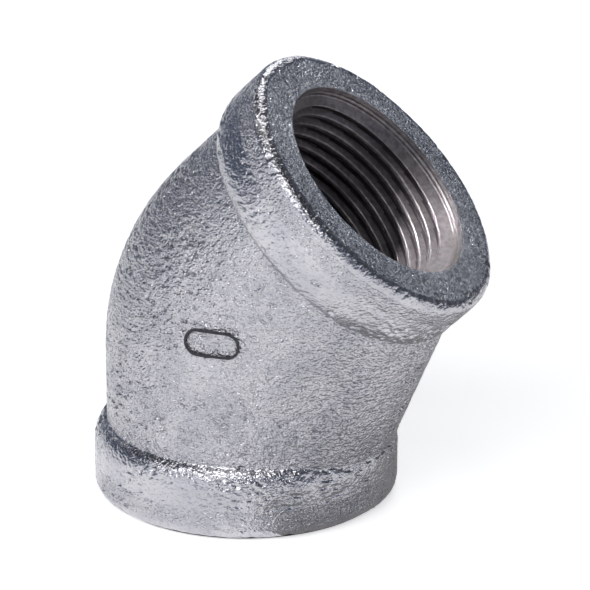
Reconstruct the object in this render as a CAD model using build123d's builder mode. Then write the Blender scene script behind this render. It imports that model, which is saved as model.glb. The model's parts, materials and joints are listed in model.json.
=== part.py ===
from build123d import *
import math
import os

# 45 degree female threaded pipe elbow, 3/4 inch size, millimetres.
# +Z runs up the inlet axis, the origin is the centre of the inlet mouth,
# and the outlet axis leans from +Z towards +X.

BEND_ANGLE = 45.0
CENTRE_TO_END = 24.5

BAND_RADIUS = 19.0
BAND_SIDE_TOP = 5.8
BAND_HEIGHT = 9.0
MOUTH_EDGE_RADIUS = 1.3
SHOULDER_END = 17.2

BODY_RADIUS = 17.4
CAVITY_RADIUS = 13.65
BEND_RADIUS = 15.6
WEB_START = 3.75
BODY_STATIONS = 9

THREAD_PITCH = 25.4 / 14
THREAD_TAPER = 1 / 32
THREAD_END = 16.0
ENTRY_DEPTH = 2.4
ENTRY_RADIUS = 13.4
CREST_START = 3.3
CREST_RADIUS = 12.2
ROOT_RADIUS = 13.28
ROOT_FLAT = 0.07
FLANK_ANGLE = 30.0
GROOVE_OVERSHOOT = 0.3
THREAD_START = 37.0

MARK_TURN = -80.0
MARK_Z = 24.7
MARK_LENGTH = 7.0
MARK_HEIGHT = 3.4
MARK_LINE = 0.3
MARK_RAISE = 0.25

HALF = math.radians(BEND_ANGLE / 2)
BEND_START = CENTRE_TO_END - BEND_RADIUS * math.tan(HALF)
PIVOT_X = (CENTRE_TO_END - WEB_START) / math.tan(HALF)
OUT_X = math.sin(2 * HALF)
OUT_Z = math.cos(2 * HALF)

CORNER = Vector(0, 0, CENTRE_TO_END)
OUTLET = Plane(
    origin=(CENTRE_TO_END * OUT_X, 0, CENTRE_TO_END * (1 + OUT_Z)),
    x_dir=(OUT_Z, 0, -OUT_X),
    z_dir=(-OUT_X, 0, -OUT_Z),
)
MIRROR = Plane(origin=CORNER, z_dir=(math.sin(HALF), 0, math.cos(HALF)))


def reach(turn, wall_x, arc_radius):
    """Distance from the pivot, along a station, to a straight wall or its bend."""
    straight = (PIVOT_X - wall_x) / math.cos(turn)
    if WEB_START + straight * math.sin(turn) <= BEND_START:
        return straight
    dx = BEND_RADIUS - PIVOT_X
    dz = BEND_START - WEB_START
    along = -dx * math.cos(turn) + dz * math.sin(turn)
    return along + math.sqrt(along**2 - dx**2 - dz**2 + arc_radius**2)


def station(turn, grow):
    """Section of the bent body: half ellipses outside and inside the bend."""
    radius = BODY_RADIUS + grow
    side = min(turn, 2 * HALF - turn)
    centre = reach(side, 0, BEND_RADIUS)
    outer = reach(side, -radius, BEND_RADIUS + radius)
    inner = (PIVOT_X - radius) * math.cos(HALF) / math.cos(side - HALF)
    plane = Plane(
        origin=(PIVOT_X, 0, WEB_START),
        x_dir=(-math.cos(turn), 0, math.sin(turn)),
        z_dir=(math.sin(turn), 0, math.cos(turn)),
    )
    with BuildSketch(plane) as section:
        with BuildLine():
            EllipticalCenterArc((centre, 0), outer - centre, radius, -90, arc_size=180)
            EllipticalCenterArc((centre, 0), centre - inner, radius, 90, arc_size=180)
        make_face()
    return section.sketch


def bent_solid(grow=0.0):
    """Outside of the bent pipe wall, with the straight web inside the bend."""
    turns = [2 * HALF * i / (BODY_STATIONS - 1) for i in range(BODY_STATIONS)]
    sections = [station(turn, grow) for turn in turns]
    with BuildPart() as bent:
        loft(sections=sections)
    return bent.part


def waterway():
    """Cored passage: a round bore swept from mouth to mouth."""
    with BuildPart() as way:
        with BuildLine() as path:
            start = Line((0, 0, -1), (0, 0, BEND_START))
            end = (OUTLET.origin.X + OUT_X, 0, OUTLET.origin.Z + OUT_Z)
            turn = ThreePointArc(start @ 1, bend_point(HALF), bend_point(2 * HALF))
            Line(turn @ 1, end)
        with BuildSketch(Plane.XY.offset(-1)):
            Circle(CAVITY_RADIUS)
        sweep(path=path.line)
    return way.part


def bend_point(turn):
    """Point on the bend's centre line, turned that far from the inlet axis."""
    return (
        BEND_RADIUS * (1 - math.cos(turn)),
        0,
        BEND_START + BEND_RADIUS * math.sin(turn),
    )


def band_solid():
    """Raised band with a rounded mouth edge and a sloping shoulder."""
    with BuildPart() as band:
        with BuildSketch(Plane.XZ):
            with BuildLine():
                Polyline((SHOULDER_END, BAND_HEIGHT), (0, BAND_HEIGHT), (0, 0))
                Line((0, 0), (BAND_RADIUS - MOUTH_EDGE_RADIUS, 0))
                RadiusArc(
                    (BAND_RADIUS - MOUTH_EDGE_RADIUS, 0),
                    (BAND_RADIUS, MOUTH_EDGE_RADIUS),
                    -MOUTH_EDGE_RADIUS,
                )
                Line((BAND_RADIUS, MOUTH_EDGE_RADIUS), (BAND_RADIUS, BAND_SIDE_TOP))
                EllipticalCenterArc(
                    (SHOULDER_END, BAND_SIDE_TOP),
                    BAND_RADIUS - SHOULDER_END,
                    BAND_HEIGHT - BAND_SIDE_TOP,
                    0,
                    arc_size=90,
                )
            make_face()
        revolve(axis=Axis.Z)
    return band.part


def groove():
    """Tapered helical thread groove, deepest at the mouth."""
    turns = math.ceil(THREAD_END / THREAD_PITCH)
    wide = ROOT_FLAT / 2 + (ROOT_RADIUS - CREST_RADIUS + GROOVE_OVERSHOOT) * math.tan(
        math.radians(FLANK_ANGLE)
    )
    inner = CREST_RADIUS - GROOVE_OVERSHOOT
    with BuildPart() as cut:
        with BuildLine() as path:
            Helix(
                THREAD_PITCH,
                turns * THREAD_PITCH,
                CREST_RADIUS,
                cone_angle=-math.degrees(math.atan(THREAD_TAPER)),
            )
        with BuildSketch(Plane(origin=path.line @ 0, x_dir=(1, 0, 0), z_dir=(0, 1, 0))):
            with BuildLine():
                Polyline(
                    (inner - CREST_RADIUS, -wide),
                    (ROOT_RADIUS - CREST_RADIUS, -ROOT_FLAT / 2),
                    (ROOT_RADIUS - CREST_RADIUS, ROOT_FLAT / 2),
                    (inner - CREST_RADIUS, wide),
                    close=True,
                )
            make_face()
        sweep(path=path.line, is_frenet=True)
    return cut.part.rotate(Axis.Z, THREAD_START)


def thread_liner():
    """Tapped inside of one mouth: a plain entry, then crests on the cored bore."""
    cut = groove()
    with BuildPart() as liner:
        with BuildSketch(Plane.XZ):
            with BuildLine():
                Polyline(
                    (CAVITY_RADIUS, 0),
                    (ENTRY_RADIUS, ENTRY_DEPTH),
                    (CREST_RADIUS, CREST_START),
                    (CREST_RADIUS, THREAD_END),
                    (CAVITY_RADIUS, THREAD_END),
                    close=True,
                )
            make_face()
        revolve(axis=Axis.Z)
        add(cut, mode=Mode.SUBTRACT)
    return liner.part


def mark_prism():
    """Plain obround outline, reaching through the side wall of the body."""
    turn = math.radians(MARK_TURN)
    plane = Plane(
        origin=(BAND_RADIUS * math.cos(turn), BAND_RADIUS * math.sin(turn), MARK_Z),
        x_dir=(-math.sin(turn), math.cos(turn), 0),
        z_dir=(math.cos(turn), math.sin(turn), 0),
    )
    with BuildPart() as prism:
        with BuildSketch(plane):
            SlotOverall(MARK_LENGTH, MARK_HEIGHT)
            SlotOverall(
                MARK_LENGTH - 2 * MARK_LINE,
                MARK_HEIGHT - 2 * MARK_LINE,
                mode=Mode.SUBTRACT,
            )
        extrude(amount=-BAND_RADIUS / 2)
    return prism.part


os.makedirs("parts", exist_ok=True)
bent = bent_solid()
way = waterway()
band = band_solid()
liner = thread_liner()
band_top = Plane.XY.offset(BAND_HEIGHT)

with BuildPart() as inlet_band:
    add(bent)
    split(bisect_by=band_top, keep=Keep.BOTTOM)
    add(band)
    add(way, mode=Mode.SUBTRACT)
inlet_band.part.label = "inlet_band"

with BuildPart() as outlet_band:
    add(mirror(inlet_band.part, about=MIRROR, mode=Mode.PRIVATE))
outlet_band.part.label = "outlet_band"

with BuildPart() as elbow_body:
    add(bent)
    split(bisect_by=band_top, keep=Keep.TOP)
    split(bisect_by=OUTLET.offset(BAND_HEIGHT), keep=Keep.TOP)
    add(way, mode=Mode.SUBTRACT)
elbow_body.part.label = "elbow_body"

with BuildPart() as inlet_thread:
    add(liner)
inlet_thread.part.label = "inlet_thread"

with BuildPart() as outlet_thread:
    add(liner.moved(OUTLET.location))
outlet_thread.part.label = "outlet_thread"

with BuildPart() as cast_mark:
    add(mark_prism())
    add(bent_solid(MARK_RAISE), mode=Mode.INTERSECT)
    add(bent, mode=Mode.SUBTRACT)
cast_mark.part.label = "cast_mark"

for piece in (
    inlet_band,
    outlet_band,
    elbow_body,
    inlet_thread,
    outlet_thread,
    cast_mark,
):
    export_step(piece.part, f"parts/{piece.part.label}.step")
    box = piece.part.bounding_box()
    print(piece.part.label, len(piece.part.solids()), round(piece.part.volume, 1), box.min, box.max)
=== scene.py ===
"""Galvanised 45 degree pipe elbow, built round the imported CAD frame.

One dense closed mesh stands for the casting: both bands, the bent body and the cored
passage, with the rippled zinc skin in its geometry. Each tapped mouth is a mesh of its
own with a right-hand thread. Lengths are in metres; angles are in degrees where a name
or comment says so and in radians elsewhere.
"""

import json
import math

import bpy
import numpy as np
from mathutils import Matrix, Vector

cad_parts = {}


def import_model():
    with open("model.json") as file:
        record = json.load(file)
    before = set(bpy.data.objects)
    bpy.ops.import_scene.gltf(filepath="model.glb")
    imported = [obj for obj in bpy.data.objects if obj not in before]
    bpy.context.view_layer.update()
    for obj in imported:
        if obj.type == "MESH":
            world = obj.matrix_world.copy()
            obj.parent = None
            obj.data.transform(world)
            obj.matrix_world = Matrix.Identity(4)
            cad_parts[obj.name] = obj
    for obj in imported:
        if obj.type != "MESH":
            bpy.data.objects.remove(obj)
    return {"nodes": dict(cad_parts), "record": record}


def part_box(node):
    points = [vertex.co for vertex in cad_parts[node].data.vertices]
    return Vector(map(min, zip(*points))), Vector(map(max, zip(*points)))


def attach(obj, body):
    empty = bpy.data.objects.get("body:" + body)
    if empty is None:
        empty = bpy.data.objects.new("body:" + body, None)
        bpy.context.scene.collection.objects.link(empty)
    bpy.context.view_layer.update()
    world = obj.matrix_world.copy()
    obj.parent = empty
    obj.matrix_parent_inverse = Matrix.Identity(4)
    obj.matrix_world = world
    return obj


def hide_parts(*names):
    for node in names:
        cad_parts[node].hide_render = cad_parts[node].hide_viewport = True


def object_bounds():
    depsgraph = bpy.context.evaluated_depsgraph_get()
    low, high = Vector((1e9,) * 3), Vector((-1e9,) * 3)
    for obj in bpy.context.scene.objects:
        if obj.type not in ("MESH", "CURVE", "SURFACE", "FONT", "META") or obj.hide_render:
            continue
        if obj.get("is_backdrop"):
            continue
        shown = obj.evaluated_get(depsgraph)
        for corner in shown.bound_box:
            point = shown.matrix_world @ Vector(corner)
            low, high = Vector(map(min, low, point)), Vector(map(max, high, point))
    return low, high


MM = 0.001
SEED = 7

# The camera's angles, in degrees, and its lens. Its distance and aim are in band radii.
VIEW_AZIMUTH = 22.3
VIEW_ELEVATION = 20.5
VIEW_ROLL = 0.2
VIEW_DISTANCE = 19.4
VIEW_LENS = 183.3
AIM_ALONG = 0.35
AIM_UP = 1.2
AIM_RAISE = 0.135
AIM_SIDE = -0.005

# The floor, and a dark disc on it: painted shadow under the elbow's foot, which keeps the
# floor's glow out of the open mouth.
FLOOR_HALF = 3.0
FLOOR_DROP = 0.2 * MM
FLOOR_GLOW = 0.6
SHADE_INSET = 1.1 * MM
SHADE_LIFT = 0.1 * MM
SHADE_CORNERS = 72

# A grey sheet on the floor right of the elbow, painted shadow of the elbow on the floor, and a
# black card that stands behind it on the right, a painted dark reflection. Only reflections see
# them.
SHEET_OUTLINE = ((0.011, -0.024), (0.024, -0.024), (0.034, 0), (0.045, 0.05), (0.011, 0.05))
SHEET_LIFT = 0.05 * MM
# The sheet glows dimmer than the floor, so reflections see painted shadow there.
SHEET_GLOW = 0.25
CARD_ALONG = 0.12
CARD_ACROSS = (0.06, 0.24)
CARD_TOP = 0.36

# Soft boxes: name, azimuth and elevation in degrees, distance, sides, power in watts.
SOFT_BOXES = (
    ("top", 0, 84, 0.5, (0.12, 0.12), 0.10),
    ("right", 90, 8, 0.5, (0.25, 0.16), 0.09),
    ("front_left", -25, 20, 0.6, (0.5, 0.5), 0.66),
    ("overhead", 0, 47, 0.5, (0.60, 0.14), 1.2),
    ("left_back", -120, 34, 0.5, (0.14, 0.14), 0.10),
    ("back", -172, 45, 0.5, (0.14, 0.45), 0.5),
    ("back_left", -160, 22, 0.5, (0.06, 0.06), 0.12),
)

# A narrow beam that enters the upper mouth; its spread is in degrees.
BEAM_FROM = Vector((-0.38, -0.20, 0.90))
BEAM_DISTANCE = 0.10
BEAM_SIDES = (0.021, 0.009)
BEAM_SPREAD = 5
BEAM_POWER = 0.0025

# The blue surroundings: their strength at the horizon, and from SKY_HEIGHT up.
SKY_COLOUR = (0.48, 0.64, 1.0, 1)
SKY_LOW_STRENGTH = 0.24
SKY_HIGH_STRENGTH = 0.02
SKY_HEIGHT = 0.7

# The casting's grid: columns round it, and rings from a mouth to the middle of the bend.
COLUMNS = 640
FACE_RINGS = 26
EDGE_RINGS = 10
SIDE_RINGS = 14
SHOULDER_RINGS = 30
BODY_RINGS = 130
PASSAGE_RINGS = 60
CORNER_STEPS = 600
BAND_ROUNDS = 12

# The casting's shape beyond what the frame's boxes give. The rounded edge of a mouth
# varies by EDGE_CHANGE of its radius, with noise read round a circle of EDGE_WANDER units.
EDGE_RADIUS = 1.3 * MM
EDGE_CHANGE = 0.2
EDGE_WANDER = 3
SHOULDER_START = 5.8 * MM
SHOULDER_END = 17.2 * MM
WEB_START = 3.75 * MM
BEND_RADIUS = 15.6 * MM

# The zinc skin's relief, all in millimetres apart from the shares: dimples that deepen
# in patches, orange peel and slow waves. The relief is weaker on the bands, and fades
# out over a few rings at the bore.
PATCH_SIZE = 7.0
DIMPLE_SIZE = 0.9
DIMPLE_DEPTH = 0.07
DIMPLE_PATCH_DEPTH = 0.22
DIMPLE_SQUASH = (1.0, 1.0, 2.0)
PEEL_SIZE = 0.55
PEEL_HEIGHT = 0.07
PEEL_SQUASH = (1.0, 1.0, 1.3)
WAVE_SIZE = 5.0
WAVE_HEIGHT = 0.05
SKIN_SINK = 0.03
BAND_RELIEF = 0.6
BORE_FADE_RINGS = 6
EDGE_GRAIN = 0.45

# The tapped mouths. Pitch, taper, turn and roots are the frame's; the plain entry is
# shorter and the crests are taller. Fine turning marks show on the entry.
THREAD_PITCH = 25.4 * MM / 14
THREAD_TAPER = 1 / 32
THREAD_TURN = math.radians(37)
THREAD_FLANK = math.radians(30)
ROOT_RADIUS = 13.28 * MM
# Width of the painted shade strip along each root.
ROOT_SHADE_WIDTH = 0.30 * MM
ENTRY_DEPTH = 1.3 * MM
ENTRY_RADIUS = 13.4 * MM
CREST_START = 2.2 * MM
THREAD_HEIGHT = 1.2 * MM
TURNING_HEIGHT = 0.03 * MM
TURNING_PITCH = 0.55 * MM
TURNING_START = (0.3 * MM, 0.6 * MM)
TURNING_END = (1.2 * MM, 1.6 * MM)
THREAD_COLUMNS = 400
THREAD_RINGS = 170
BACK_GAP = 0.02 * MM
BACK_START = 0.3 * MM

# Material slots on the casting.
ZINC, FACE, EDGE = 0, 1, 2

# Socket numbers on the Mix and Map Range nodes, where the names repeat.
MIX_FACTOR, MIX_A, MIX_B, MIX_RESULT = 0, 6, 7, 2
RANGE_FROM_LOW, RANGE_FROM_HIGH, RANGE_TO_LOW, RANGE_TO_HIGH = 1, 2, 3, 4

WHITE = (1, 1, 1, 1)


def save_boxes(name, low_high, store):
    """Keeps a box's two corners as plain lists."""
    store[name] = [list(corner) for corner in low_high]


# ---------------------------------------------------------------- smooth seeded noise


def lattice(cells, seed):
    """Pseudo-random unit-range value for each integer lattice point."""
    mixed = (
        cells[..., 0] * 73856093
        ^ cells[..., 1] * 19349663
        ^ cells[..., 2] * 83492791
        ^ seed * 2654435761
    )
    mixed = (mixed ^ (mixed >> 13)) * 1274126177
    return ((mixed ^ (mixed >> 16)) & 0xFFFFFF) / float(0xFFFFFF)


def value_noise(points, seed):
    """Smooth noise from -1 to 1 with a feature size of one unit."""
    base = np.floor(points).astype(np.int64)
    part = points - base
    part = part * part * part * (part * (part * 6 - 15) + 10)
    total = np.zeros(len(points))
    for corner in range(8):
        offset = np.array([corner & 1, corner >> 1 & 1, corner >> 2 & 1])
        weight = np.prod(np.where(offset, part, 1 - part), axis=1)
        total += weight * lattice(base + offset, seed)
    return 2 * total - 1


def layered(points, size, seed, layers=2):
    """Sum of noises from feature size down, each half the size and strength."""
    total, strength = np.zeros(len(points)), 0.0
    for layer in range(layers):
        weight = 0.5**layer
        total += weight * value_noise(points / (size * 0.5**layer), seed + layer)
        strength += weight
    return total / strength


def smooth_step(low, high, value):
    """Eased 0 to 1 as the value goes from low to high."""
    part = np.clip((value - low) / (high - low), 0, 1)
    return part * part * (3 - 2 * part)


# ---------------------------------------------------------------- the casting's form


class Elbow:
    """Sizes and places of the fitting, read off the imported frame."""

    def __init__(self, record):
        places = {m["name"]: Vector(m["pos_m"]) for m in record["mounts"]}
        axes = {m["name"]: Vector(m["axis"]).normalized() for m in record["mounts"]}
        dims = {m["name"]: m["dims"] for m in record["mounts"]}
        self.out_axis = axes["outlet_mouth"]
        self.out_mouth = places["outlet_mouth"]
        self.reach = self.out_mouth.x / self.out_axis.x
        self.half_turn = axes["outlet_mouth"].angle(Vector((0, 0, 1))) / 2
        self.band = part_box("inlet_band")[1].y
        self.band_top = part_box("inlet_band")[1].z
        self.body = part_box("elbow_body")[1].y
        self.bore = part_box("inlet_thread")[1].y
        self.thread_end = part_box("inlet_thread")[1].z
        self.crest = dims["inlet_thread"]["r_mm"] * MM
        self.bend_start = self.reach - BEND_RADIUS * math.tan(self.half_turn)
        self.pivot = (self.reach - WEB_START) / math.tan(self.half_turn)

    def to_outlet(self, points):
        """Mirror image about the plane that halves the bend."""
        normal = np.array([math.sin(self.half_turn), 0, math.cos(self.half_turn)])
        corner = np.array([0, 0, self.reach])
        return points - 2 * ((points - corner) @ normal)[..., None] * normal

    def band_radius(self, height):
        """Radius of the band's outside at a height above its mouth."""
        rise = np.clip((height - SHOULDER_START) / (self.band_top - SHOULDER_START), 0, 1)
        shoulder = SHOULDER_END + (self.band - SHOULDER_END) * np.sqrt(1 - rise**2)
        above = np.clip(height - self.band_top, 0, None)
        return np.maximum(shoulder - 2 * above, self.body / 2)

    def reach_out(self, turn, wall, arc_radius):
        """Distance from the pivot to a straight wall, or to its bend further up."""
        straight = (self.pivot - wall) / np.cos(turn)
        dx, dz = BEND_RADIUS - self.pivot, self.bend_start - WEB_START
        along = dz * np.sin(turn) - dx * np.cos(turn)
        bent = along + np.sqrt(along**2 - dx**2 - dz**2 + arc_radius**2)
        low = WEB_START + straight * np.sin(turn) <= self.bend_start
        return np.where(low, straight, bent)

    def station_point(self, turn, angle, factor):
        """Point at a share of the way from the centre line to the body's outside."""
        centre = self.reach_out(turn, 0, BEND_RADIUS)
        outer = self.reach_out(turn, -self.body, BEND_RADIUS + self.body)
        inner = (self.pivot - self.body) * math.cos(self.half_turn)
        inner = inner / np.cos(turn - self.half_turn)
        side = np.where(np.cos(angle) > 0, outer - centre, centre - inner)
        along = centre + factor * side * np.cos(angle)
        return np.stack(
            [
                self.pivot - along * np.cos(turn),
                factor * self.body * np.sin(angle),
                WEB_START + along * np.sin(turn),
            ],
            axis=-1,
        )

    def band_factor(self, turn, angle):
        """How far the band reaches along each station's ray, the body being 1.

        Each round goes half of the way that is left to the band's outline.
        """
        factor = np.ones(np.broadcast(turn, angle).shape) * self.band / self.body
        for _ in range(BAND_ROUNDS):
            point = self.station_point(turn, angle, factor)
            radius = np.hypot(point[..., 0], point[..., 1])
            wanted = self.band_radius(point[..., 2])
            factor = factor * (0.5 + 0.5 * wanted / radius)
        return factor


def mouth_rings(elbow, angle, seed):
    """Rings over the inlet's face, round its edge and up the side of its band."""

    def flat_ring(radius, height):
        place = [-radius * np.cos(angle), radius * np.sin(angle), height + 0 * angle]
        return np.stack(place, -1)

    rings = []
    circle = np.stack([np.cos(angle), np.sin(angle), np.zeros(COLUMNS)], -1)
    edge = EDGE_RADIUS * (1 + EDGE_CHANGE * layered(EDGE_WANDER * circle, 1.0, seed))
    for share in np.linspace(0, 1, FACE_RINGS, endpoint=False):
        rings.append(flat_ring(elbow.bore + share * (elbow.band - edge - elbow.bore), 0.0))
    for swing in np.linspace(0, math.pi / 2, EDGE_RINGS, endpoint=False):
        radius = elbow.band - edge * (1 - math.sin(swing))
        rings.append(flat_ring(radius, edge * (1 - math.cos(swing))))
    for share in np.linspace(0, 1, SIDE_RINGS, endpoint=False):
        rings.append(flat_ring(elbow.band, edge + share * (WEB_START - edge)))
    return rings


def wall_rings(elbow, angle):
    """Rings over the inlet's shoulder and the body, to the middle of the bend."""
    fine = np.linspace(0, elbow.half_turn, CORNER_STEPS)[:, None]
    excess = elbow.band_factor(fine, angle[None, :]) - 1
    crossing = np.argmax(excess < 0, axis=0)
    before, after = excess[crossing - 1, range(COLUMNS)], excess[crossing, range(COLUMNS)]
    corner = fine[crossing - 1, 0] + (fine[1, 0] - fine[0, 0]) * before / (before - after)
    lower = np.linspace(0, 1, SHOULDER_RINGS, endpoint=False)[:, None] * corner
    upper = corner + np.linspace(0, 1, BODY_RINGS)[:, None] * (elbow.half_turn - corner)
    turn = np.concatenate([lower, upper])
    factor = np.maximum(elbow.band_factor(turn, angle[None, :]), 1)
    return elbow.station_point(turn, angle[None, :], factor)


def half_outside(elbow, angle, seed):
    """Rings of points from the inlet's bore edge, outside, to the middle of the bend."""
    return np.concatenate([mouth_rings(elbow, angle, seed), wall_rings(elbow, angle)])


def casting_rings(elbow):
    """Rings of points outside, from mouth to mouth, and back through the passage."""
    angle = np.arange(COLUMNS) * 2 * math.pi / COLUMNS
    lower = half_outside(elbow, angle, SEED)
    upper = elbow.to_outlet(half_outside(elbow, angle, SEED + 100)[:-1])[::-1]
    return np.concatenate([lower, upper, passage_rings(elbow, angle)])


def passage_rings(elbow, angle):
    """The cored passage, from the outlet back down to the inlet."""
    straight = elbow.bend_start
    bend = BEND_RADIUS * 2 * elbow.half_turn
    total = 2 * straight + bend
    rings = []
    for share in np.linspace(0, 1, PASSAGE_RINGS + 1, endpoint=False)[1:]:
        at = share * total
        turn = min(max((at - straight) / BEND_RADIUS, 0), 2 * elbow.half_turn)
        extra = max(at - straight - bend, 0)
        centre = np.array(
            [
                BEND_RADIUS * (1 - math.cos(turn)) + extra * math.sin(turn),
                0,
                min(at, straight) + BEND_RADIUS * math.sin(turn) + extra * math.cos(turn),
            ]
        )
        across = np.array([math.cos(turn), 0, -math.sin(turn)])
        ring = centre - elbow.bore * np.cos(angle)[:, None] * across
        ring[:, 1] = elbow.bore * np.sin(angle)
        rings.append(ring)
    return np.array(rings[::-1])


def grid_normals(rings):
    """Outward normals of a grid that closes on itself both ways."""
    along = np.roll(rings, -1, axis=0) - np.roll(rings, 1, axis=0)
    across = np.roll(rings, -1, axis=1) - np.roll(rings, 1, axis=1)
    normal = np.cross(along, across)
    length = np.linalg.norm(normal, axis=-1, keepdims=True)
    return normal / np.maximum(length, 1e-12)


def grid_mesh(name, rings):
    """Mesh object of quads over rings of points, closed on itself both ways."""
    count, columns = rings.shape[:2]
    row = np.arange(count)[:, None] * columns
    after = np.roll(row, -1, axis=0)
    here = np.arange(columns)[None, :]
    there = np.roll(here, -1, axis=1)
    quads = np.stack([row + here, row + there, after + there, after + here], -1)
    mesh = bpy.data.meshes.new(name)
    mesh.from_pydata(rings.reshape(-1, 3).tolist(), [], quads.reshape(-1, 4).tolist())
    mesh.shade_smooth()
    obj = bpy.data.objects.new(name, mesh)
    bpy.context.scene.collection.objects.link(obj)
    return obj


def zinc_relief(points):
    """Height of the zinc skin over the smooth casting, in metres."""
    p = points / MM
    patches = smooth_step(-0.4, 0.4, layered(p, PATCH_SIZE, SEED + 10))
    dimples = layered(p * np.array(DIMPLE_SQUASH), DIMPLE_SIZE, SEED + 50)
    depth = DIMPLE_DEPTH + DIMPLE_PATCH_DEPTH * patches
    dips = depth * smooth_step(0.08, 0.6, dimples)
    peel = PEEL_HEIGHT * layered(p * np.array(PEEL_SQUASH), PEEL_SIZE, SEED + 60)
    waves = WAVE_HEIGHT * layered(p, WAVE_SIZE, SEED + 70)
    return MM * (peel - dips + waves - SKIN_SINK)


def relief_strength(count, outside):
    """Share of the relief on each ring: weaker on the bands, none in the passage."""
    ring = np.arange(outside)
    near_bore = smooth_step(0, BORE_FADE_RINGS, ring)
    past_side = smooth_step(0, SHOULDER_RINGS, ring - FACE_RINGS - EDGE_RINGS - SIDE_RINGS)
    lower = near_bore * (BAND_RELIEF + (1 - BAND_RELIEF) * past_side)
    strength = np.zeros(count)
    strength[:outside] = lower * lower[::-1]
    return strength


def casting_slots(count, outside):
    """Material slot of each quad: mouth faces, then rims and shoulders, then the rest."""
    slots = np.full((count, COLUMNS), ZINC, np.int32)
    edge = FACE_RINGS + EDGE_RINGS
    side = edge + SIDE_RINGS
    shoulder = side + SHOULDER_RINGS
    slots[side:shoulder] = slots[outside - shoulder : outside - side] = EDGE
    slots[:edge] = slots[outside - edge - 1 : outside] = EDGE
    slots[: FACE_RINGS - 1] = slots[outside - FACE_RINGS : outside] = FACE
    return slots


def make_casting(elbow):
    """Bands, body and passage as one closed mesh, with the zinc skin's relief."""
    rings = casting_rings(elbow)
    count = len(rings)
    outside = count - PASSAGE_RINGS
    height = zinc_relief(rings.reshape(-1, 3)).reshape(rings.shape[:2])
    height = height * relief_strength(count, outside)[:, None]
    rings = rings + grid_normals(rings) * height[..., None]
    casting = grid_mesh("galvanised_casting", rings)
    casting.data.materials.append(zinc_material("galvanised_zinc", 1.0))
    casting.data.materials.append(face_material())
    casting.data.materials.append(zinc_material("galvanised_edge", EDGE_GRAIN))
    slots = casting_slots(count, outside)
    casting.data.polygons.foreach_set("material_index", slots.ravel())
    return casting


# ---------------------------------------------------------------- the threads


def off_root(angle, depth):
    """Distance along the axis from the nearest turn of the right-hand root."""
    phase = depth / THREAD_PITCH - (angle - THREAD_TURN) / (2 * math.pi)
    return np.abs(phase - np.round(phase)) * THREAD_PITCH


def thread_radius(elbow, angle, depth):
    """Radius of the tapped wall: a short entry, then the groove on its taper."""
    root = ROOT_RADIUS - depth * THREAD_TAPER
    groove = root - off_root(angle, depth) / math.tan(THREAD_FLANK)
    knots = [0, ENTRY_DEPTH, CREST_START]
    entry = np.interp(depth, knots, [elbow.bore, ENTRY_RADIUS, elbow.crest])
    wall = np.where(depth < CREST_START, entry, root - THREAD_HEIGHT)
    turned = smooth_step(*TURNING_START, depth) * (1 - smooth_step(*TURNING_END, depth))
    marks = TURNING_HEIGHT * np.sin(2 * math.pi * depth / TURNING_PITCH)
    return np.maximum(groove, wall + marks * turned)


def make_thread(elbow, name, place, materials):
    """Closed mesh of one tapped mouth, with painted shade on its roots in the second material.
    """
    angle = np.arange(THREAD_COLUMNS) * 2 * math.pi / THREAD_COLUMNS
    depth = np.linspace(0, elbow.thread_end, THREAD_RINGS)[:, None] + 0 * angle
    radius = thread_radius(elbow, angle, depth)
    # Painted shade: the strip along each root gets the second material.
    dark = (off_root(angle, depth) < ROOT_SHADE_WIDTH) & (depth > CREST_START)

    back = np.array([elbow.thread_end, elbow.thread_end / 2, BACK_START])[:, None]
    depth = np.concatenate([depth, back + 0 * angle])
    radius = np.concatenate([radius, 0 * back + 0 * angle + elbow.bore - BACK_GAP])
    dark = np.concatenate([dark, np.zeros((len(back), THREAD_COLUMNS), bool)])

    rings = np.stack([radius * np.cos(angle), radius * np.sin(angle), depth], -1)
    thread = grid_mesh(name, rings[::-1])
    for material in materials:
        thread.data.materials.append(material)
    slots = dark[::-1].astype(np.int32).ravel()
    thread.data.polygons.foreach_set("material_index", slots)
    thread.data.transform(place)
    return thread


def outlet_place(elbow):
    """Turns the inlet's own axes to the outlet's, without a mirror."""
    down = -elbow.out_axis
    across = Vector((-down.z, 0, down.x))
    turn = Matrix((across, down.cross(across), down)).transposed()
    return Matrix.Translation(elbow.out_mouth) @ turn.to_4x4()


# ---------------------------------------------------------------- materials


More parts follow.
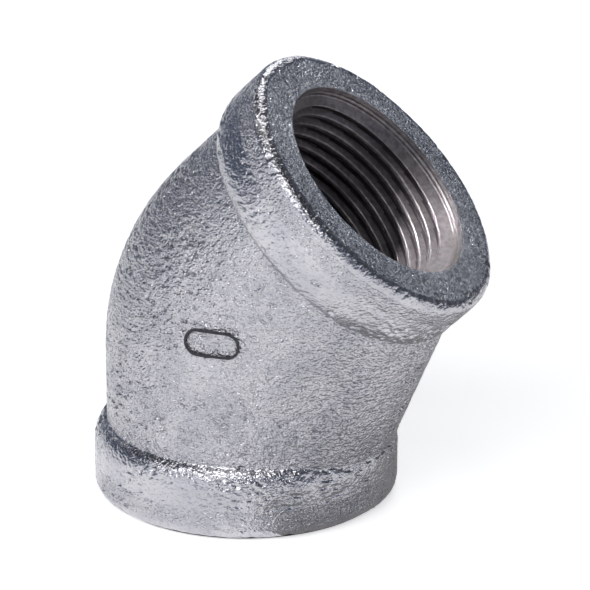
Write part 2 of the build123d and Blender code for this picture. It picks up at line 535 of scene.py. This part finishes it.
class Nodes:
    """A material's node tree with short helpers."""

    def __init__(self, name):
        self.material = bpy.data.materials.new(name)
        self.material.use_nodes = True
        self.tree = self.material.node_tree
        self.shader = self.tree.nodes["Principled BSDF"]
        self.coords = self.tree.nodes.new("ShaderNodeTexCoord").outputs["Object"]

    def put(self, node, inputs):
        """Sets each input to a constant, or links it to a socket."""
        for key, value in inputs.items():
            if isinstance(value, bpy.types.NodeSocket):
                self.tree.links.new(value, node.inputs[key])
            else:
                node.inputs[key].default_value = value

    def finish(self, inputs):
        """Fills the shader's inputs and gives the material."""
        self.put(self.shader, inputs)
        return self.material

    def new(self, kind, inputs, **settings):
        """Adds a shader node with its inputs and settings."""
        node = self.tree.nodes.new("ShaderNode" + kind)
        for key, value in settings.items():
            setattr(node, key, value)
        self.put(node, inputs)
        return node

    def noise(self, size, detail=3, rough=0.55, stretch=(1, 1, 1)):
        """Noise from 0 to 1 whose largest features have the given size."""
        scaled = self.new("Mapping", {"Vector": self.coords, "Scale": stretch}).outputs[0]
        inputs = {"Vector": scaled, "Scale": 1 / size, "Detail": detail, "Roughness": rough}
        return self.new("TexNoise", inputs).outputs["Fac"]

    def ramp(self, value, low, high, to_low=0.0, to_high=1.0):
        """Eased change from to_low to to_high as the value goes from low to high."""
        inputs = {
            "Value": value,
            RANGE_FROM_LOW: low,
            RANGE_FROM_HIGH: high,
            RANGE_TO_LOW: to_low,
            RANGE_TO_HIGH: to_high,
        }
        return self.new("MapRange", inputs, interpolation_type="SMOOTHSTEP").outputs[0]

    def times(self, a, b):
        """Product of two values."""
        return self.new("Math", {0: a, 1: b}, operation="MULTIPLY").outputs[0]

    def mix(self, factor, a, b):
        """Colour that goes from a to b with the factor."""
        inputs = {MIX_FACTOR: factor, MIX_A: a, MIX_B: b}
        return self.new("Mix", inputs, data_type="RGBA").outputs[MIX_RESULT]

    def bump(self, height, distance, under=None):
        """Normal bent by a height, over another normal if there is one."""
        inputs = {"Height": height, "Distance": distance}
        if under is not None:
            inputs["Normal"] = under
        return self.new("Bump", inputs).outputs[0]


def zinc_material(name, grain):
    """Zinc skin; grain scales the small dimples that bump adds to the geometry."""
    n = Nodes(name)
    cloudy = n.ramp(n.noise(5 * MM), 0.38, 0.62)
    base = n.mix(cloudy, (0.57, 0.56, 0.59, 1), (0.49, 0.485, 0.52, 1))
    fleck = n.ramp(n.noise(0.4 * MM, 2, 0.6, stretch=(1, 1, 1.8)), 0.52, 0.66)
    base = n.mix(n.times(fleck, 0.4), base, (0.24, 0.25, 0.29, 1))
    rough = n.ramp(n.noise(1.2 * MM, 4, 0.6), 0.3, 0.7, 0.16, 0.26)
    coarse = n.bump(n.noise(0.55 * MM, 2, 0.5, stretch=(1, 1, 1.6)), grain * 0.26 * MM)
    fine = n.bump(n.noise(0.28 * MM, 1, 0.5), grain * 0.20 * MM, under=coarse)
    return n.finish({"Metallic": 0.95, "Base Color": base, "Roughness": rough, "Normal": fine})


def face_material():
    """Zinc with an even fine grain on the flat mouth faces, in darker, bluer tones as painted
    shade.
    """
    n = Nodes("galvanised_face")
    grey = n.ramp(n.noise(2.5 * MM, 4), 0.35, 0.65)
    # Painted shade: the face tones are darker and bluer than the zinc elsewhere.
    base = n.mix(grey, (0.50, 0.515, 0.56, 1), (0.38, 0.39, 0.43, 1))
    rough = n.ramp(n.noise(0.8 * MM), 0.3, 0.7, 0.20, 0.30)
    grain = n.bump(n.noise(0.30 * MM, 1, 0.5), 0.45 * MM)
    return n.finish({"Metallic": 0.9, "Base Color": base, "Roughness": rough, "Normal": grain})


def mark_material():
    """Nearly black line of the raised outline on the body."""
    n = Nodes("dark_line")
    base = n.mix(n.noise(0.6 * MM, 2), (0.02, 0.02, 0.025, 1), (0.06, 0.06, 0.07, 1))
    rough = n.ramp(n.noise(0.5 * MM), 0.3, 0.7, 0.4, 0.6)
    return n.finish({"Metallic": 0.6, "Base Color": base, "Roughness": rough})


def machined_material():
    """Bare tapped iron, warmer than the zinc, with its base kept very dark as painted shade
    inside the mouth.
    """
    n = Nodes("machined_iron")
    patch = n.ramp(n.noise(0.7 * MM), 0.35, 0.65)
    # Painted shade: these tones are far darker than bare iron, to darken the inside of the
    # mouth.
    base = n.mix(patch, (0.22, 0.20, 0.21, 1), (0.15, 0.135, 0.143, 1))
    rough = n.ramp(n.noise(1.0 * MM), 0.3, 0.7, 0.34, 0.46)
    grain = n.bump(n.noise(0.25 * MM), 0.05 * MM)
    return n.finish({"Metallic": 0.75, "Base Color": base, "Roughness": rough, "Normal": grain})


def root_shade_material():
    """Painted shade along the thread's roots."""
    n = Nodes("painted_root_shade")
    # Painted shade: near-black tones for the roots.
    base = n.mix(n.noise(0.7 * MM, 2), (0.025, 0.02, 0.025, 1), (0.06, 0.05, 0.055, 1))
    rough = n.ramp(n.noise(0.9 * MM), 0.3, 0.7, 0.4, 0.55)
    return n.finish({"Metallic": 0.5, "Base Color": base, "Roughness": rough})


def stage_material(name, tones, size, roughness, glow):
    """Plain grey stage surface, mottled between two tones, that may glow white."""
    n = Nodes(name)
    low, high = tones
    base = n.mix(n.noise(size, 2), (low, low, low, 1), (high, high, high, 1))
    inputs = {"Base Color": base, "Roughness": roughness}
    return n.finish(inputs | {"Emission Strength": glow, "Emission Color": WHITE})


def painted_shade_material(name, glow=0.0):
    """Nearly black stage surface for painted shadow and painted dark reflection."""
    return stage_material(name, (0.05, 0.08), size=0.01, roughness=0.9, glow=glow)


# ---------------------------------------------------------------- stage


def direction(azimuth, elevation):
    """Unit vector towards a view angle in degrees; azimuth 0 looks along +Y."""
    a, e = math.radians(azimuth), math.radians(elevation)
    return Vector((math.sin(a) * math.cos(e), -math.cos(a) * math.cos(e), math.sin(e)))


def make_camera(unit):
    """Camera at the photograph's viewing angle; unit is the band's radius."""
    back = direction(VIEW_AZIMUTH, VIEW_ELEVATION)
    right = direction(VIEW_AZIMUTH + 90, 0)
    up = back.cross(right)
    target = Vector((AIM_ALONG, 0, AIM_UP)) * unit
    aim = target + (up * AIM_RAISE + right * AIM_SIDE) * unit
    data = bpy.data.cameras.new("camera")
    data.lens = VIEW_LENS
    data.clip_start = 0.01
    data.clip_end = 20
    camera = bpy.data.objects.new("camera", data)
    camera.location = target + back * VIEW_DISTANCE * unit
    toward = (aim - camera.location).to_track_quat("-Z", "Y")
    camera.rotation_mode = "QUATERNION"
    roll = Matrix.Rotation(math.radians(VIEW_ROLL), 3, "Z").to_quaternion()
    camera.rotation_quaternion = toward @ roll
    bpy.context.scene.collection.objects.link(camera)
    bpy.context.scene.camera = camera


def flat_sheet(name, corners, material):
    """Stage object of one flat face."""
    mesh = bpy.data.meshes.new(name)
    mesh.from_pydata(corners, [], [tuple(range(len(corners)))])
    mesh.materials.append(material)
    sheet = bpy.data.objects.new(name, mesh)
    bpy.context.scene.collection.objects.link(sheet)
    sheet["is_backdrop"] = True
    return sheet


def make_floor(height, band):
    """Pale floor, and the dark disc of painted shadow under the elbow's lower mouth."""
    square = ((-1, -1), (1, -1), (1, 1), (-1, 1))
    corners = [(FLOOR_HALF * x, FLOOR_HALF * y, height) for x, y in square]
    pale = stage_material("pale_floor", (0.93, 0.95), size=0.05, roughness=0.8, glow=FLOOR_GLOW)
    flat_sheet("floor", corners, pale)

    turns = [2 * math.pi * step / SHADE_CORNERS for step in range(SHADE_CORNERS)]
    radius = band - SHADE_INSET
    lifted = height + SHADE_LIFT
    disc = [(radius * math.cos(turn), radius * math.sin(turn), lifted) for turn in turns]
    # Painted shadow: a dark disc on the floor under the elbow's foot.
    flat_sheet("shade", disc, painted_shade_material("painted_foot_shadow"))


def make_reflectors(height):
    """Grey sheet of painted floor shadow and black card of painted dark reflection, which only
    reflections see.
    """
    low = height + SHEET_LIFT
    outline = [(x, y, low) for x, y in SHEET_OUTLINE]
    # Painted shadow: a dim grey sheet beside the elbow, seen only in reflections.
    sheet = flat_sheet("shadow_sheet", outline, painted_shade_material("painted_floor_shadow", SHEET_GLOW))
    near, far = CARD_ACROSS
    upright = ((near, low), (far, low), (far, CARD_TOP), (near, CARD_TOP))
    corners = [(CARD_ALONG, y, z) for y, z in upright]
    # Painted dark reflection: a black card right of the elbow, seen only in reflections.
    card = flat_sheet("card", corners, painted_shade_material("painted_dark_reflection"))
    for reflector in (sheet, card):
        reflector.visible_camera = False
        reflector.visible_shadow = False
        reflector.visible_diffuse = False


def make_lamp(name, sides, power, location, rotation):
    """Rectangular lamp that shines along its own -Z; gives its data."""
    data = bpy.data.lights.new(name, "AREA")
    data.shape = "RECTANGLE"
    data.size, data.size_y = sides
    data.energy = power
    lamp = bpy.data.objects.new(name, data)
    lamp.location = location
    lamp.rotation_mode = "QUATERNION"
    lamp.rotation_quaternion = rotation
    bpy.context.scene.collection.objects.link(lamp)
    return data


def make_beam(mouth, axis):
    """Narrow straight beam that fits through the upper mouth and lights its threads."""
    back = BEAM_FROM.normalized()
    across = axis.cross(back).normalized()
    turn = Matrix((across, back.cross(across), back)).transposed().to_quaternion()
    beam = make_lamp("beam", BEAM_SIDES, BEAM_POWER, mouth + back * BEAM_DISTANCE, turn)
    beam.spread = math.radians(BEAM_SPREAD)


def make_soft_boxes(target):
    """Soft boxes round the target, each turned to it."""
    for name, azimuth, elevation, distance, sides, power in SOFT_BOXES:
        back = direction(azimuth, elevation)
        make_lamp(name, sides, power, target + back * distance, back.to_track_quat("Z", "Y"))


def make_sky():
    """Dim blue surroundings that darken upwards."""
    world = bpy.data.worlds.new("studio")
    world.use_nodes = True
    nodes, links = world.node_tree.nodes, world.node_tree.links
    height = nodes.new("ShaderNodeSeparateXYZ")
    links.new(nodes.new("ShaderNodeTexCoord").outputs["Generated"], height.inputs[0])
    fall = nodes.new("ShaderNodeMapRange")
    fall.inputs[RANGE_FROM_LOW].default_value = 0.0
    fall.inputs[RANGE_FROM_HIGH].default_value = SKY_HEIGHT
    fall.inputs[RANGE_TO_LOW].default_value = SKY_LOW_STRENGTH
    fall.inputs[RANGE_TO_HIGH].default_value = SKY_HIGH_STRENGTH
    links.new(height.outputs["Z"], fall.inputs["Value"])
    background = nodes["Background"]
    background.inputs["Color"].default_value = SKY_COLOUR
    links.new(fall.outputs[0], background.inputs["Strength"])
    bpy.context.scene.world = world


# ---------------------------------------------------------------- the scene


def main():
    """Loads the frame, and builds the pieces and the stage."""
    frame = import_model()
    boxes = {}
    save_boxes("cad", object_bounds(), boxes)
    elbow = Elbow(frame["record"])

    casting = make_casting(elbow)
    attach(casting, "root")
    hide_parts("inlet_band", "outlet_band", "elbow_body")

    metals = machined_material(), root_shade_material()
    places = {"inlet_thread": Matrix.Identity(4), "outlet_thread": outlet_place(elbow)}
    for node, place in places.items():
        thread = make_thread(elbow, "tapped_" + node, place, metals)
        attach(thread, "root")
        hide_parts(node)

    mark = frame["nodes"]["cast_mark"]
    mark.data.materials.clear()
    mark.data.materials.append(mark_material())

    bpy.context.scene.view_settings.view_transform = "Standard"
    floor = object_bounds()[0].z - FLOOR_DROP
    make_floor(floor, elbow.band)
    make_reflectors(floor)
    make_beam(elbow.out_mouth, elbow.out_axis)
    make_soft_boxes(Vector((0, 0, elbow.reach)))
    make_sky()
    make_camera(elbow.band)

    save_boxes("visual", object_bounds(), boxes)


main()
